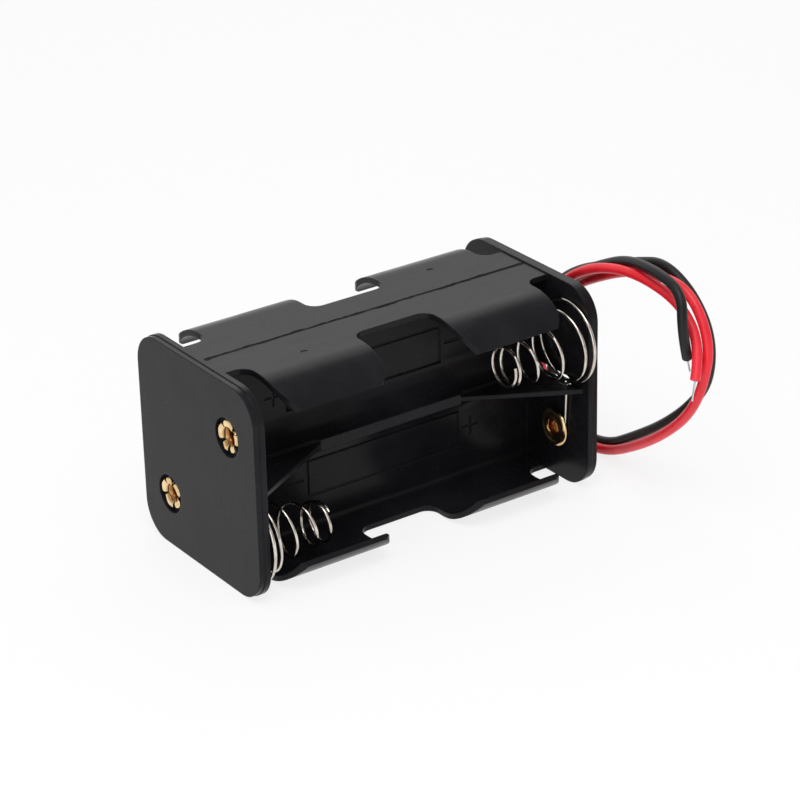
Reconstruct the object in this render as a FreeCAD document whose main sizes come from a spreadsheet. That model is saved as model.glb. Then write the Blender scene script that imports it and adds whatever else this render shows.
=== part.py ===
import FreeCAD, Part
import math
import os

import Sketcher

# Four-bay holder for AA cells, two bays at the front and two at the back of one moulded web.
# X runs along the cells, the front bays face -Y, Z is up and the bottom wall rests near Z = 0.
# The origin is under the middle of the housing, on the surface that it stands on.

Vector = FreeCAD.Vector

SIZES = [
    ("cell_diameter", 14.3, "clear width of a bay"),
    ("cell_length", 50.5, "cell with its cap"),
    ("contact_room", 4.1, "left along a bay for the squeezed spring and the eyelet"),
    ("plate_thickness", 1.7, "end plates"),
    ("plate_corner", 5.0, "corner radius of the end plates"),
    ("plate_step", 0.12, "how far the outer half of a plate stands inside the inner half"),
    ("plate_rim", 0.2, "how far the plates stand above the walls"),
    ("plate_margin", 0.15, "how far the plates stand before the finger tips"),
    ("wall_thickness", 0.85, "top and bottom walls and their fingers"),
    ("web_thickness", 1.2, "web between front and back bays"),
    ("web_clearance", 0.3, "between the web and a cell"),
    ("web_corner", 0.8, "fillet where the web meets a wall"),
    ("shelf_thickness", 0.7, "thin shelves between upper and lower bays"),
    ("shelf_setback", 1.35, "from the front of a plate to its shelf"),
    ("rib_thickness", 1.6, "rib between upper and lower bays"),
    ("rib_depth", 3.8, "rib over the web, and the radius of its flanks"),
    ("nose_depth", 0.6, "nose on the middle of the rib"),
    ("nose_length", 24.0, "nose on the middle of the rib"),
    ("tip_angle", 32.5, "finger tips above the level of a cell's axis, degrees"),
    ("finger_gap", 3.55, "from a plate to the swept edge of the first finger"),
    ("finger_width", 17.0, "finger along X"),
    ("finger_pitch", 29.85, "from one finger to the next"),
    ("finger_root", 5.35, "from the middle of the web to the root of the fingers"),
    ("root_fillet", 2.0, "where a finger leaves its wall"),
    ("tip_fillet", 2.0, "square corner of a finger, seen from above"),
    ("tip_corner", 1.7, "square corner of a finger, seen from the front"),
    ("tip_cut", 0.12, "how far the rounding of that corner starts below the tip"),
    ("sweep_radius", 6.4, "swept corner of a finger"),
    ("sweep_length", 5.2, "swept corner of a finger, along Y"),
    ("frame_length", 26.5, "plain frame line on the web, along X"),
    ("frame_height", 5.8, "plain frame line on the web, along Z"),
    ("frame_shift", 1.5, "frame off the middle of the bay, along X"),
    ("frame_rise", 7.15, "middle of a frame above or below the middle of the rib"),
    ("line_width", 0.3, "engraved lines"),
    ("line_depth", 0.15, "engraved lines"),
    ("mark_size", 2.8, "plus and minus marks"),
    ("mark_place", 15.3, "from the middle of a frame to a mark, along X"),
    ("slot_width", 9.0, "slots through the far plate"),
    ("slot_height", 2.4, "slots through the far plate"),
    ("slot_place", 6.4, "from the middle of the web to the middle of a slot"),
    ("slot_corner", 1.1, "corners of the slots"),
    ("pass_width", 1.6, "openings that let a link wire through"),
    ("pass_depth", 1.1, "openings that let a link wire through, off the plate"),
    ("parting_width", 0.2, "parting line along the top and the bottom wall"),
    ("parting_depth", 0.1, "parting line along the top and the bottom wall"),
    ("recess_radius", 2.85, "round recess of an eyelet"),
    ("recess_depth", 0.7, "round recess of an eyelet"),
    ("barrel_radius", 1.45, "outside of an eyelet's barrel"),
    ("barrel_wall", 0.3, "sheet of an eyelet"),
    ("eyelet_fit", 0.03, "between an eyelet's barrel and its hole"),
    ("flange_radius", 2.9, "rolled flange of an eyelet"),
    ("flange_roll", 0.25, "radius of the flange's rolled rim"),
    ("petal_radius", 2.35, "clenched petals of an eyelet"),
    ("wire_diameter", 0.6, "spring and link wire"),
    ("wire_gap", 0.05, "between the wire and what it lies on"),
    ("coil_radius", 6.2, "wire centre of a spring's widest turn"),
    ("coil_tip_radius", 2.85, "wire centre of a spring's narrowest turn"),
    ("coil_length", 12.3, "free spring"),
    ("link_offset", 2.3, "where a link wire leaves its coil, off the line to the eyelet"),
    ("lead_diameter", 1.5, "insulated leads"),
    ("lead_spacing", 2.4, "between the two leads in their slot"),
    ("lead_room", 0.25, "beside the leads where they pass the shelf"),
    ("lead_seat", 1.1, "from the plate's outer face to the inner end of a lead's insulation"),
    ("lead_guide", 3.7, "straight start of a lead outside the plate, to its first corner"),
    ("core_diameter", 0.5, "tinned strands of a lead, inside the bays"),
    ("tip_diameter", 0.9, "stripped free end of a lead"),
    ("tip_length", 4.0, "stripped free end of a lead"),
    ("joint_radius", 0.65, "solder joints"),
]


class Size:
    """A length and the sheet expression that gives it."""

    def __init__(self, value, text):
        self.value = value
        self.text = text

    def __add__(self, other):
        other = as_size(other)
        return Size(self.value + other.value, f"({self.text} + {other.text})")

    def __sub__(self, other):
        other = as_size(other)
        return Size(self.value - other.value, f"({self.text} - {other.text})")

    def __mul__(self, other):
        other = as_size(other)
        return Size(self.value * other.value, f"({self.text} * {other.text})")

    def __truediv__(self, other):
        other = as_size(other)
        return Size(self.value / other.value, f"({self.text} / {other.text})")

    def __neg__(self):
        return Size(-self.value, f"(0 - {self.text})")

    __radd__ = __add__
    __rmul__ = __mul__


def as_size(number):
    if isinstance(number, Size):
        return number
    return Size(float(number), f"({number})")


def root(size):
    return Size(math.sqrt(size.value), f"sqrt({size.text})")


def cosine(angle):
    return Size(math.cos(math.radians(angle.value)), f"cos({angle.text} * 1 deg)")


def sine(angle):
    return Size(math.sin(math.radians(angle.value)), f"sin({angle.text} * 1 deg)")


doc = FreeCAD.newDocument("CellHolder")
sheet = doc.addObject("Spreadsheet::Sheet", "Sizes")
for row, (alias, value, note) in enumerate(SIZES, start=1):
    sheet.set(f"A{row}", alias.replace("_", " "))
    sheet.set(f"B{row}", str(value))
    sheet.setAlias(f"B{row}", alias)
    sheet.set(f"C{row}", note)
doc.recompute()


def size(alias):
    return Size(float(sheet.get(alias)), f"Sizes.{alias}")


# Housing levels and places that several pieces share

bay_radius = size("cell_diameter") / 2
wall_radius = bay_radius + size("wall_thickness")
web_face = size("web_thickness") / 2
bay_y = web_face + size("web_clearance") + bay_radius
bay_rise = bay_radius + size("shelf_thickness") / 2
wall_top = bay_rise + wall_radius
wall_inside = bay_rise + bay_radius
half_height = wall_top + size("plate_rim")
tip_y = bay_y + wall_radius * cosine(size("tip_angle"))
half_depth = tip_y + size("plate_margin")
half_inside = (size("cell_length") + size("contact_room")) / 2
half_length = half_inside + size("plate_thickness")
rib_face = web_face + size("rib_depth")
nose_face = rib_face + size("nose_depth")
middle = half_height
wire_rise = size("wire_gap") + size("wire_diameter") / 2
flange_rise = size("wire_diameter") + size("wire_gap") * 2

PLANES = {"XY": "XY_Plane", "XZ": "XZ_Plane", "YZ": "YZ_Plane"}


def origin_feature(body, role):
    return next(item for item in body.Origin.OriginFeatures if item.Role == role)


def new_body(name):
    body = doc.addObject("PartDesign::Body", name)
    body.Label = name
    return body


def new_sketch(body, name, plane, offset=None):
    """A sketch on one of the body's planes, moved along its normal by offset."""
    sketch = body.newObject("Sketcher::SketchObject", name)
    sketch.AttachmentSupport = [(origin_feature(body, PLANES[plane]), "")]
    sketch.MapMode = "FlatFace"
    if offset is not None:
        sketch.setExpression(".AttachmentOffset.Base.z", offset.text)
    return sketch


def arc_through(start, end, radius, side):
    """Arc of the radius from start to end, its centre on the left (+1) or the right (-1)."""
    chord = end - start
    half = chord.Length / 2
    rise = math.sqrt(max(radius * radius - half * half, 0.0))
    normal = Vector(-chord.y, chord.x, 0).normalize()
    centre = (start + end) / 2 + normal * (rise * side)
    first, last = (start, end) if side > 0 else (end, start)
    circle = Part.Circle(centre, Vector(0, 0, 1), radius)
    begin = math.atan2(first.y - centre.y, first.x - centre.x)
    finish = math.atan2(last.y - centre.y, last.x - centre.x)
    if finish < begin:
        finish += 2 * math.pi
    return Part.ArcOfCircle(circle, begin, finish)


def draw_outline(sketch, corners):
    """Closed outline of (x, y, arc) corners; arc is None or (radius, side) of the edge that follows."""
    places = [Vector(x.value, y.value, 0) for x, y, _ in corners]
    edges = []
    for index, (x, y, arc) in enumerate(corners):
        start = places[index]
        end = places[(index + 1) % len(corners)]
        if arc is None:
            number = sketch.addGeometry(Part.LineSegment(start, end), False)
            edges.append((number, 1, 2))
        else:
            radius, side = arc
            number = sketch.addGeometry(arc_through(start, end, radius.value, side), False)
            edges.append((number, 1, 2) if side > 0 else (number, 2, 1))
            fixed = sketch.addConstraint(Sketcher.Constraint("Radius", number, radius.value))
            sketch.setExpression(f"Constraints[{fixed}]", radius.text)
    for index, (x, y, _) in enumerate(corners):
        number, start, _ = edges[index]
        before, _, end = edges[index - 1]
        sketch.addConstraint(Sketcher.Constraint("Coincident", before, end, number, start))
        for kind, place in (("DistanceX", x), ("DistanceY", y)):
            fixed = sketch.addConstraint(
                Sketcher.Constraint(kind, -1, 1, number, start, place.value))
            sketch.setExpression(f"Constraints[{fixed}]", place.text)


def draw_circle(sketch, x, y, radius):
    number = sketch.addGeometry(Part.Circle(Vector(x.value, y.value, 0), Vector(0, 0, 1),
                                            radius.value), False)
    for kind, place in (("DistanceX", x), ("DistanceY", y)):
        fixed = sketch.addConstraint(Sketcher.Constraint(kind, -1, 1, number, 3, place.value))
        sketch.setExpression(f"Constraints[{fixed}]", place.text)
    fixed = sketch.addConstraint(Sketcher.Constraint("Radius", number, radius.value))
    sketch.setExpression(f"Constraints[{fixed}]", radius.text)


def draw_box(sketch, x_low, y_low, x_high, y_high):
    draw_outline(sketch, [(x_low, y_low, None), (x_high, y_low, None),
                          (x_high, y_high, None), (x_low, y_high, None)])


def pad(body, name, sketch, length, symmetric=False, backwards=False):
    feature = body.newObject("PartDesign::Pad", name)
    feature.Profile = sketch
    feature.SideType = "Symmetric" if symmetric else "One side"
    feature.Reversed = backwards
    feature.setExpression("Length", length.text)
    return feature


def pocket(body, name, sketch, length, symmetric=False, backwards=False):
    feature = body.newObject("PartDesign::Pocket", name)
    feature.Profile = sketch
    feature.SideType = "Symmetric" if symmetric else "One side"
    feature.Reversed = backwards
    feature.setExpression("Length", length.text)
    return feature


def turned_twice(body, name, features):
    """Repeats the features half a turn about the body's Z axis."""
    pattern = body.newObject("PartDesign::PolarPattern", name)
    pattern.Originals = features
    pattern.Axis = (origin_feature(body, "Z_Axis"), [""])
    pattern.Angle = 360
    pattern.Occurrences = 2
    body.Tip = pattern
    return pattern


def mirrored_corners(corners, flip_x, flip_y):
    """The corners mirrored in one axis, in an order that keeps the outline's sense."""
    count = len(corners)
    result = []
    for index in range(count - 1, -1, -1):
        x, y, _ = corners[index]
        arc = corners[index - 1][2] if index > 0 else None
        result.append((-x if flip_x else x, -y if flip_y else y, arc))
    return result


# Housing: one moulding of web, rib, walls with fingers, shelves and two end plates


def section_quarter():
    """One quarter of the section between the plates, from the rib to the middle of the wall."""
    half_rib = size("rib_thickness") / 2
    flank = size("rib_depth")
    corner = size("web_corner")
    tip_cosine = cosine(size("tip_angle"))
    tip_sine = sine(size("tip_angle"))
    return [
        (rib_face, half_rib, (flank, -1)),
        (web_face, half_rib + flank, None),
        (web_face, wall_inside - corner, (corner, -1)),
        (web_face + corner, wall_inside, None),
        (bay_y, wall_inside, (bay_radius, -1)),
        (bay_y + bay_radius * tip_cosine, bay_rise + bay_radius * tip_sine, None),
        (bay_y + wall_radius * tip_cosine, bay_rise + wall_radius * tip_sine, (wall_radius, 1)),
        (bay_y, wall_top, None),
    ]


def plate_corners(inset):
    """Rounded outline of an end plate, drawn inset by a step."""
    radius = size("plate_corner") - inset
    wide = half_depth - inset
    tall = half_height - inset
    quarter = [(wide, tall - radius, (radius, 1)), (wide - radius, tall, None)]
    upper = quarter + mirrored_corners(quarter, True, False)
    return upper + mirrored_corners(upper, False, True)


def raised(corners):
    """Moves corners drawn about the middle of the housing up to it."""
    return [(x, y + middle, arc) for x, y, arc in corners]


def finger_cuts():
    """Gaps beside the two front fingers, seen from above, as outlines."""
    fillet = size("root_fillet")
    tip = size("tip_fillet")
    sweep = size("sweep_radius")
    reach = size("sweep_length")
    outside = half_depth + 1
    root_y = size("finger_root")
    run = sweep - root_squared(sweep, reach)

    def square_side(edge):
        """From the tip to the root along a finger's square edge, the gap on its +X side."""
        return [
            (edge - tip, -outside, None),
            (edge - tip, -tip_y, (tip, 1)),
            (edge, -(tip_y - tip), None),
            (edge, -(root_y + fillet), (fillet, -1)),
            (edge + fillet, -root_y, None),
        ]

    def swept_side(edge):
        """From the root to the tip along a finger's swept edge, the gap on its -X side."""
        return [
            (edge - fillet, -root_y, (fillet, -1)),
            (edge, -(root_y + fillet), None),
            (edge, -(tip_y - reach), (sweep, 1)),
            (edge + run, -tip_y, None),
            (edge + run, -outside, None),
        ]

    first = -half_inside + size("finger_gap")
    second = first + size("finger_pitch")
    near = [(-half_inside, -outside, None), (-half_inside, -root_y, None)] + swept_side(first)
    between = square_side(first + size("finger_width")) + swept_side(second)
    far = square_side(second + size("finger_width")) + [
        (half_inside, -root_y, None), (half_inside, -outside, None)]
    return [near, between, far]


def tip_cuts():
    """Pieces outside the rounded lower corners of the front fingers, seen from the front."""
    radius = size("tip_corner")
    beyond = size("wall_thickness")
    tip_rise = bay_rise + bay_radius * sine(size("tip_angle")) - size("tip_cut")
    result = []
    for number in (0, 1):
        edge = (-half_inside + size("finger_gap") + size("finger_pitch") * number
                + size("finger_width"))
        upper = [
            (edge - radius, tip_rise, (radius, 1)),
            (edge, tip_rise + radius, None),
            (edge + beyond, tip_rise + radius, None),
            (edge + beyond, tip_rise - beyond, None),
            (edge - radius, tip_rise - beyond, None),
        ]
        result.append(raised(upper))
        result.append(raised(mirrored_corners(upper, False, True)))
    return result


def root_squared(long_side, short_side):
    return root(long_side * long_side - short_side * short_side)


def make_housing():
    body = new_body("housing")

    core = new_sketch(body, "core_section", "YZ")
    quarter = section_quarter()
    upper = quarter + mirrored_corners(quarter, True, False)
    draw_outline(core, raised(upper + mirrored_corners(upper, False, True)))
    pad(body, "core", core, half_inside * 2, symmetric=True)

    features = []
    for index, cut in enumerate(finger_cuts()):
        sketch = new_sketch(body, f"finger_gap_{index}", "XY")
        draw_outline(sketch, cut)
        features.append(pocket(body, f"finger_cut_{index}", sketch, half_height * 2,
                               backwards=True))
    tips = new_sketch(body, "finger_tip_corners", "XZ", half_depth)
    for corners in tip_cuts():
        draw_outline(tips, corners)
    features.append(pocket(body, "finger_tip_cuts", tips, half_depth - bay_y - wall_radius / 2))
    turned_twice(body, "finger_cuts", features)

    nose = new_sketch(body, "nose_outline", "XY", middle)
    half_nose = size("nose_length") / 2
    back = web_face
    draw_outline(nose, [
        (half_nose + size("nose_depth"), -rib_face, None), (half_nose, -nose_face, None),
        (-half_nose, -nose_face, None), (-half_nose - size("nose_depth"), -rib_face, None),
        (-half_nose - size("nose_depth"), -back, None),
        (half_nose + size("nose_depth"), -back, None)][::-1])
    front_nose = pad(body, "front_nose", nose, size("rib_thickness"), symmetric=True)

    shelf = new_sketch(body, "shelf_outline", "XY", middle)
    for side in (-1, 1):
        corners = [
            (half_inside * side, -rib_face + size("nose_depth"), None),
            (half_inside * side, -(half_depth - size("shelf_setback")), None),
            (half_nose * side, -nose_face, None),
            (half_nose * side, -rib_face + size("nose_depth"), None)]
        draw_outline(shelf, corners)
    shelves = pad(body, "front_shelves", shelf, size("shelf_thickness"), symmetric=True)
    turned_twice(body, "noses_and_shelves", [front_nose, shelves])

    inner_half = new_sketch(body, "plate_outline", "YZ", half_inside)
    draw_outline(inner_half, raised(plate_corners(as_size(0))))
    inner_plate = pad(body, "plate_inner_half", inner_half, size("plate_thickness") / 2)
    outer_half = new_sketch(body, "plate_step_outline", "YZ",
                            half_inside + size("plate_thickness") / 2)
    draw_outline(outer_half, raised(plate_corners(size("plate_step"))))
    outer_plate = pad(body, "plate_outer_half", outer_half, size("plate_thickness") / 2)

    bore = new_sketch(body, "eyelet_bores", "YZ", half_inside)
    recess = new_sketch(body, "eyelet_recesses", "YZ", half_length)
    for sign_y, sign_z in ((-1, -1), (1, 1)):
        place = (bay_y * sign_y, bay_rise * sign_z + middle)
        draw_circle(bore, *place, size("barrel_radius") + size("eyelet_fit"))
        draw_circle(recess, *place, size("recess_radius"))
    bores = pocket(body, "bores", bore, size("plate_thickness"), backwards=True)
    recesses = pocket(body, "recesses", recess, size("recess_depth"))
    turned_twice(body, "both_ends", [inner_plate, outer_plate, bores, recesses])

    slots = new_sketch(body, "lead_slots", "YZ", half_inside)
    for side in (-1, 1):
        draw_outline(slots, slot_corners(size("slot_place") * side))
    pocket(body, "slots", slots, size("plate_thickness"), backwards=True)

    cut_passages(body)
    engrave(body)
    draw_parting_lines(body)
    return body


def slot_corners(centre):
    """A slot with rounded ends, as corners in the plane of the far plate."""
    radius = size("slot_corner")
    wide = size("slot_width") / 2
    tall = size("slot_height") / 2
    quarter = [(wide, tall - radius, (radius, 1)), (wide - radius, tall, None)]
    upper = quarter + mirrored_corners(quarter, True, False)
    whole = upper + mirrored_corners(upper, False, True)
    return [(x + centre, y + middle, arc) for x, y, arc in whole]


def cut_passages(body):
    """Openings in the web and the shelves that the link wires and the leads pass."""
    half_pass = size("pass_width") / 2
    web_pass = new_sketch(body, "web_passages", "XZ")
    for sign_z in (-1, 1):
        level = (bay_rise - size("link_offset")) * sign_z + middle
        draw_box(web_pass, -half_inside, level - half_pass,
                 -half_inside + size("pass_depth"), level + half_pass)
    pocket(body, "web_passage_cuts", web_pass, size("web_thickness") * 2, symmetric=True)

    shelf_pass = new_sketch(body, "shelf_passages", "XY", middle)
    place = -(bay_y + size("link_offset"))
    draw_box(shelf_pass, half_inside - size("pass_depth"), place - half_pass,
             half_inside, place + half_pass)
    half_leads = (size("lead_spacing") + size("lead_diameter")) / 2 + size("lead_room")
    draw_box(shelf_pass, half_inside - size("pass_depth"), bay_y - half_leads,
             half_inside, bay_y + half_leads)
    pocket(body, "shelf_passage_cut", shelf_pass, size("shelf_thickness") * 2, symmetric=True)


def engrave(body):
    """Plain frame lines and the plus and minus marks on the front of the web, then the back."""
    frames = new_sketch(body, "frame_lines", "XZ", web_face)
    marks = new_sketch(body, "polarity_marks", "XZ", web_face)
    line = size("line_width")
    half_line = line / 2
    half_mark = size("mark_size") / 2
    for sign in (-1, 1):
        level = size("frame_rise") * sign + middle
        centre = size("frame_shift") * -sign
        half_long = size("frame_length") / 2
        half_tall = size("frame_height") / 2
        draw_box(frames, centre - half_long, level - half_tall,
                 centre + half_long, level + half_tall)
        draw_box(frames, centre - half_long + line, level - half_tall + line,
                 centre + half_long - line, level + half_tall - line)
        minus = centre + size("mark_place") * sign
        plus = centre - size("mark_place") * sign
        draw_box(marks, minus - half_mark, level - half_line, minus + half_mark,
                 level + half_line)
        draw_outline(marks, plus_corners(plus, level, half_mark, half_line))
    cuts = [pocket(body, "frame_cuts", frames, size("line_depth")),
            pocket(body, "mark_cuts", marks, size("line_depth"))]
    turned_twice(body, "engraving", cuts)


def draw_parting_lines(body):
    """Fine grooves along the middle of the top and the bottom wall."""
    half_width = size("parting_width") / 2
    for name, level, upwards in (("top", middle + wall_top, False),
                                 ("bottom", middle - wall_top, True)):
        sketch = new_sketch(body, name + "_parting_line", "XY", level)
        draw_box(sketch, -half_inside, -half_width, half_inside, half_width)
        pocket(body, name + "_parting_cut", sketch, size("parting_depth"), backwards=upwards)


def plus_corners(x, y, arm, half_line):
    quarter = [(arm, half_line, None), (half_line, half_line, None), (half_line, arm, None)]
    upper = quarter + mirrored_corners(quarter, True, False)
    whole = upper + mirrored_corners(upper, False, True)
    return [(x + dx, y + dy, arc) for dx, dy, arc in whole]


# Places of the four contacts at each end: the bay's side in Y, its side in Z, the plate's side in X

EYELETS = {
    "eyelet_front_upper": (-1, 1, -1),
    "eyelet_front_lower": (-1, -1, 1),
    "eyelet_back_upper": (1, 1, 1),
    "eyelet_back_lower": (1, -1, -1),
}


def make_eyelet(name):
    """Brass eyelet on its own Z axis, with Z = 0 on the plate's inner face and +Z into the bay."""
    body = new_body(name)
    barrel = size("barrel_radius")
    bore = barrel - size("barrel_wall")
    roll = size("flange_roll")
    rim = size("flange_radius") - roll
    top = flange_rise + roll * 2
    floor = size("recess_depth") - size("plate_thickness")
    petal = size("petal_radius")
    profile = new_sketch(body, name + "_profile", "XZ")
    draw_outline(profile, [
        (bore, floor - size("barrel_wall"), None),
        (petal, floor - size("barrel_wall"), None),
        (petal, floor, None),
        (barrel, floor, None),
        (barrel, flange_rise, None),
        (rim, flange_rise, (roll, 1)),
        (rim + roll, flange_rise + roll, (roll, 1)),
        (rim, top, None),
        (bore + roll, top, (roll, 1)),
        (bore, top - roll, None),
    ])
    turned = body.newObject("PartDesign::Revolution", name + "_turned")
    turned.Profile = profile
    turned.ReferenceAxis = (profile, ["V_Axis"])
    turned.Angle = 360

    side_y, side_z, side_x = EYELETS[name]
    body.Placement = FreeCAD.Placement(Vector(0, 0, 0), Vector(0, 1, 0), -90 * side_x)
    body.setExpression(".Placement.Base.x", (half_inside * side_x).text)
    body.setExpression(".Placement.Base.y", (bay_y * side_y).text)
    body.setExpression(".Placement.Base.z", (bay_rise * side_z + middle).text)
    return body


# Wires and leads: straight runs joined by tangent arcs, swept with a round section

ROUNDING = 0.45
FULL_ROUNDING = 0.5
SHORTEST_RUN = 1e-6


def rounded_path(points, radii=None, rounding=ROUNDING):
    """Runs between the points with a tangent arc at each, as edges and the arcs' radii."""
    edges = []
    used = []
    last = points[0]
    for index in range(1, len(points) - 1):
        before = points[index] - points[index - 1]
        after = points[index + 1] - points[index]
        turn = before.getAngle(after)
        shorter = min(before.Length, after.Length)
        radius = rounding * shorter / math.tan(turn / 2)
        if radii and index in radii:
            radius = radii[index]
        trim = radius * math.tan(turn / 2)
        first = points[index] - Vector(before).normalize() * trim
        final = points[index] + Vector(after).normalize() * trim
        inward = (Vector(after).normalize() - Vector(before).normalize()).normalize()
        sagitta = radius / math.cos(turn / 2) - radius
        if (first - last).Length > SHORTEST_RUN:
            edges.append(Part.LineSegment(last, first).toShape())
        edges.append(Part.Arc(first, points[index] + inward * sagitta, final).toShape())
        used.append(radius)
        last = final
    edges.append(Part.LineSegment(last, points[-1]).toShape())
    return edges, used


def swept(edges, diameter):
    """Round tube of the diameter along the edges."""
    wire = Part.Wire(edges)
    start = edges[0].valueAt(edges[0].FirstParameter)
    along = edges[0].tangentAt(edges[0].FirstParameter)
    section = Part.Wire(Part.Circle(start, along, diameter / 2).toShape())
    return wire.makePipeShell([section], True, False)


def make_feature(name, shape, placement=None):
    feature = doc.addObject("Part::Feature", name)
    feature.Label = name
    feature.Shape = shape
    if placement is not None:
        feature.Placement = placement
    return feature


# Contact springs: the widest turn lies on the plate, and a link wire may run on to an eyelet.
# Each is drawn with the bay's axis on Z, the bay along +Z and its eyelet along +X.

CORNER_SPACING = 4.2
LARGEST_STEP = 0.45
HALVINGS = 48
RING_END = 0.3
LINK_BEND = 1.2
FREE_END_ANGLE = -0.7

# Turns from the wide end, with the shares of the radius and of the height at each
COIL_SHAPE = [
    (0.0, 1.0, 0.0), (0.5, 0.985, 0.005), (1.0, 0.866, 0.052), (1.5, 0.701, 0.15),
    (2.5, 0.343, 0.442), (3.5, 0.104, 0.768), (4.3, 0.03, 0.944), (5.3, 0.0, 1.0),
]

# Sides of the bay in Y and Z and of the plate in X, the link, the coil's place off the bay's axis
# outwards and towards the shelf, and how far its tip leans outwards and droops.
SPRINGS = {
    "spring_front_upper": ((-1, 1, 1), "down", (2.4, 0.5), (0.3, 0.8)),
    "spring_front_lower": ((-1, -1, -1), "back", (1.5, -0.3), (-0.2, 1.1)),
    "spring_back_upper": ((1, 1, -1), "front", (2.4, 0.5), (0.3, 0.8)),
    "spring_back_lower": ((1, -1, 1), None, (1.5, -0.3), (-0.2, 1.1)),
}


def coil_shares(turn):
    """Shares of the radius and of the height at a turn, between the entries of the shape."""
    for before, after in zip(COIL_SHAPE, COIL_SHAPE[1:]):
        if turn <= after[0]:
            share = (turn - before[0]) / (after[0] - before[0])
            return (before[1] + (after[1] - before[1]) * share,
                    before[2] + (after[2] - before[2]) * share)
    return COIL_SHAPE[-1][1:]


def coil_corners(centre, tilt, start_angle):
    """Evenly spaced corners of a right-handed coil, from its tip to its wide end."""
    tip = size("coil_tip_radius").value
    widening = size("coil_radius").value - tip
    low = wire_rise.value
    height = size("coil_length").value - size("wire_diameter").value / 2 - low

    def corner(turn):
        radius_share, height_share = coil_shares(turn)
        radius = tip + widening * radius_share
        reach = math.hypot(radius, CORNER_SPACING / 2)
        angle = start_angle + turn * 2 * math.pi
        rise = Vector(0, 0, low + height * height_share)
        return (centre + tilt * height_share + rise
                + Vector(math.cos(angle), math.sin(angle), 0) * reach)

    turns = [0.0]
    while turns[-1] < COIL_SHAPE[-1][0]:
        near, far = turns[-1], turns[-1] + LARGEST_STEP
        for _ in range(HALVINGS):
            half_way = (near + far) / 2
            if (corner(half_way) - corner(turns[-1])).Length < CORNER_SPACING:
                near = half_way
            else:
                far = half_way
        turns.append(far)
    return [corner(turn) for turn in turns[-2::-1]]


def make_spring(name):
    (side_y, side_z, side_x), link, (out, back), (lean, droop) = SPRINGS[name]
    wire = size("wire_diameter").value
    # The local X axis turns to the eyelet: down, or across the web to the other side.
    towards = {"down": Vector(0, 0, -1), "back": Vector(0, 1, 0), "front": Vector(0, -1, 0),
               None: Vector(0, 0, 1)}[link]
    inward = Vector(-side_x, 0, 0)
    across = inward.cross(towards)

    def local(y, z):
        offset = Vector(0, y, z)
        return Vector(offset.dot(towards), offset.dot(across), 0)

    centre = local(out * side_y, -back * side_z)
    tilt = local(lean * side_y, -droop)
    start_angle = FREE_END_ANGLE
    if link:
        side = size("link_offset").value
        start_angle = math.asin((side - centre.y) / size("coil_radius").value)
    points = coil_corners(centre, tilt, start_angle)
    radii = {}
    if link:
        radii[len(points) - 1] = LINK_BEND
        distance = (bay_rise * 2).value if link == "down" else (bay_y * 2).value
        ring = size("barrel_radius").value + size("wire_gap").value + wire / 2
        low = wire_rise.value
        points.append(Vector(distance - ring, ring, low))
        for side_along, side_across in ((1, 1), (1, -1), (-1, -1)):
            radii[len(points)] = ring
            points.append(Vector(distance + ring * side_along, ring * side_across, low))
        points.append(Vector(distance - ring, ring * RING_END, low))
    edges, used = rounded_path(points, radii, FULL_ROUNDING)
    spring = swept(edges, wire)
    matrix = FreeCAD.Matrix(
        towards.x, across.x, inward.x, half_inside.value * side_x,
        towards.y, across.y, inward.y, bay_y.value * side_y,
        towards.z, across.z, inward.z, (bay_rise * side_z + middle).value,
        0, 0, 0, 1)
    print(name, "corners", len(points), "smallest radius", round(min(used), 2))
    return make_feature(name, spring, FreeCAD.Placement(matrix))


# Leads: they leave by the back slot of the far plate and stand in one loose loop beside it.
# The corners are counted from the middle of the slot at the plate's outer face.

RED_ROUTE = [
    (7.0, -2.7, 3.6), (7.6, -7.9, 9.5), (7.0, -14.2, 12.9), (6.9, -20.8, 16.1),
    (7.0, -27.2, 18.7), (7.5, -33.7, 17.3), (6.7, -38.1, 11.1), (5.4, -38.7, 4.6),
    (5.9, -35.6, -1.4), (6.0, -29.9, -6.5), (6.6, -23.6, -11.2), (6.9, -16.9, -15.0),
    (6.3, -10.1, -14.6), (5.3, -5.3, -9.6), (4.2, -3.5, -2.5), (3.6, -4.7, 4.5),
    (3.4, -8.7, 10.5), (3.8, -14.1, 14.9), (4.3, -20.4, 17.4), (4.4, -27.8, 18.5),
    (5.4, -35.0, 16.5), (5.3, -39.7, 11.3), (2.8, -40.6, 7.5),
]
BLACK_ROUTE = [
    (7.0, -0.1, 3.7), (7.6, -4.5, 9.6), (7.1, -9.9, 13.8), (6.3, -16.5, 16.4),
    (6.0, -23.3, 18.9), (5.2, -30.0, 20.8), (5.3, -36.8, 18.3), (6.3, -41.0, 12.1),
    (7.7, -39.3, 4.9), (7.3, -34.1, -0.8), (7.3, -28.4, -5.7), (8.2, -21.6, -10.5),
    (9.0, -14.6, -14.9), (8.6, -8.5, -14.5), (7.3, -5.4, -8.7), (6.1, -4.9, -1.1),
    (5.5, -6.3, 6.6), (5.2, -10.1, 13.8), (4.1, -16.7, 18.5), (3.2, -24.7, 19.7),
    (2.9, -30.8, 20.6), (3.6, -36.3, 18.6), (3.3, -37.7, 12.6), (6.2, -36.0, 8.4),
]


def lead_corners(side, route):
    """Corners of a lead on one side of the slot: two in line with its hole, then the route."""
    place_y = bay_y.value + side * size("lead_spacing").value / 2
    face = half_length.value
    start = Vector(face - size("lead_seat").value, place_y, middle.value)
    guide = Vector(face + size("lead_guide").value, place_y, middle.value)
    loop = [Vector(face + x, bay_y.value + y, middle.value + z) for x, y, z in route]
    return [start, guide] + loop


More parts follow.
